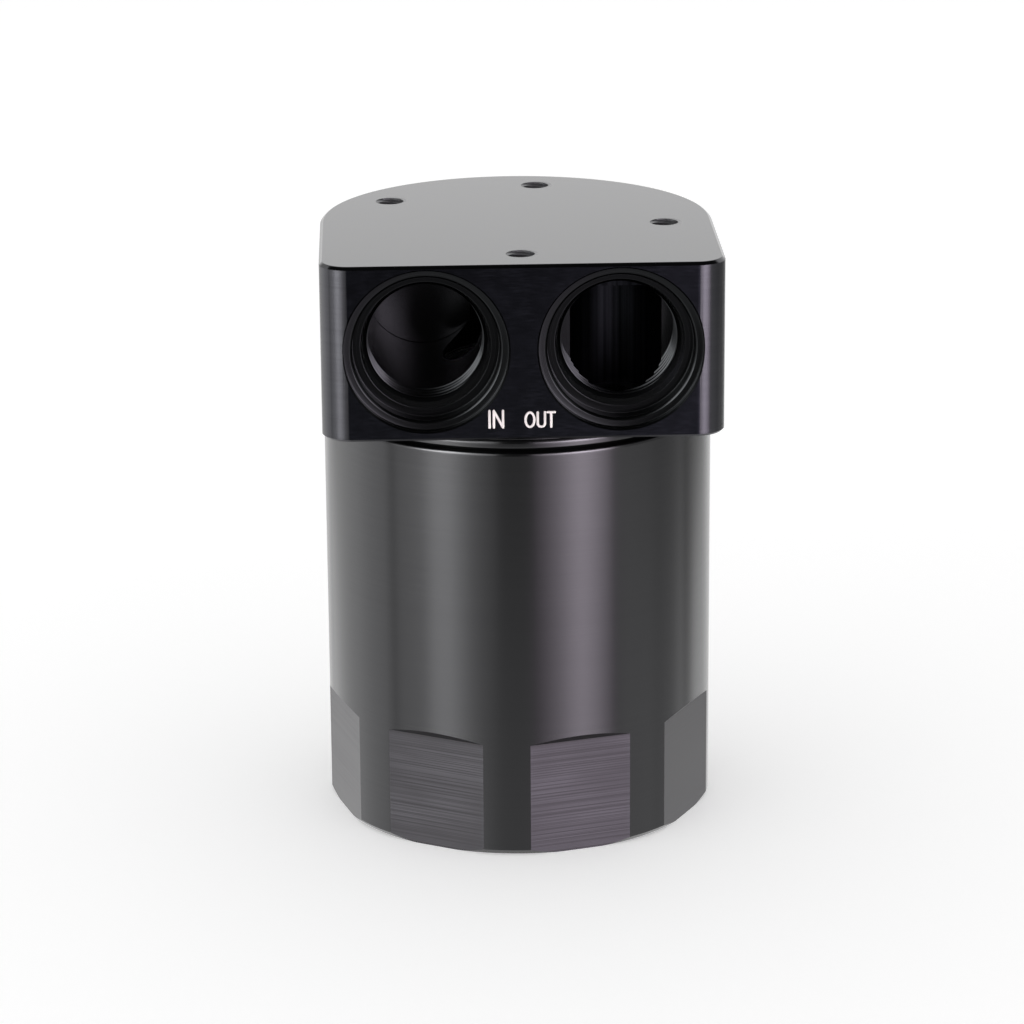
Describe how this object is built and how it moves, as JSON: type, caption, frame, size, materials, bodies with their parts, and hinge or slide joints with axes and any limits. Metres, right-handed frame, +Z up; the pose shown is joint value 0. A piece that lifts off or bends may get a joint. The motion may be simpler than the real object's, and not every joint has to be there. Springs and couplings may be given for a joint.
{
  "type": "oil catch can",
  "caption": "Compact oil catch can: a flat-fronted machined head with an inlet and an outlet port over a round cup that unscrews, with a tube, plates and mesh pad inside.",
  "frame": {"origin": "centre of the underside of the cup, on the main axis", "axes": "+Z up along the main axis, the two ports face -Y, +X towards the outlet port"},
  "size_m": [0.0762, 0.0762, 0.118],
  "materials": {
    "black_anodised_billet": "milled and black anodised, satin",
    "black_anodised_turned": "turned and black anodised, satin",
    "seal_rubber": "moulded nitrile rubber",
    "plain_aluminium": "turned, bare",
    "stainless_sheet": "punched stainless sheet",
    "knitted_wire": "knitted stainless wire",
    "stainless_fastener": "stainless, plain"
  },
  "bodies": {
    "head": {"head": "black_anodised_billet", "drop_tube": "plain_aluminium", "upper_plate": "stainless_sheet", "lower_plate": "stainless_sheet", "mesh_pad": "knitted_wire", "pillar_1": "plain_aluminium", "spacer_1": "plain_aluminium", "washer_1": "stainless_fastener", "screw_1": "stainless_fastener", "pillar_2": "plain_aluminium", "spacer_2": "plain_aluminium", "washer_2": "stainless_fastener", "screw_2": "stainless_fastener", "pillar_3": "plain_aluminium", "spacer_3": "plain_aluminium", "washer_3": "stainless_fastener", "screw_3": "stainless_fastener"},
    "seal": {"cup_seal": "seal_rubber"},
    "cup": {"cup": "black_anodised_turned"}
  },
  "joints": [
    {"name": "cup_lower", "type": "slide", "parent": "head", "child": "seal", "axis": [0, 0, 1], "range_m": [-0.0105, 0]},
    {"name": "cup_turn", "type": "hinge", "parent": "seal", "child": "cup", "pos_m": [0, 0, 0], "axis": [0, 0, 1], "range_deg": [-1890, 0]}
  ],
  "couplings": [
    {"joint": "cup_lower", "follows": "cup_turn", "m_per_rad": 0.0003183}
  ]
}
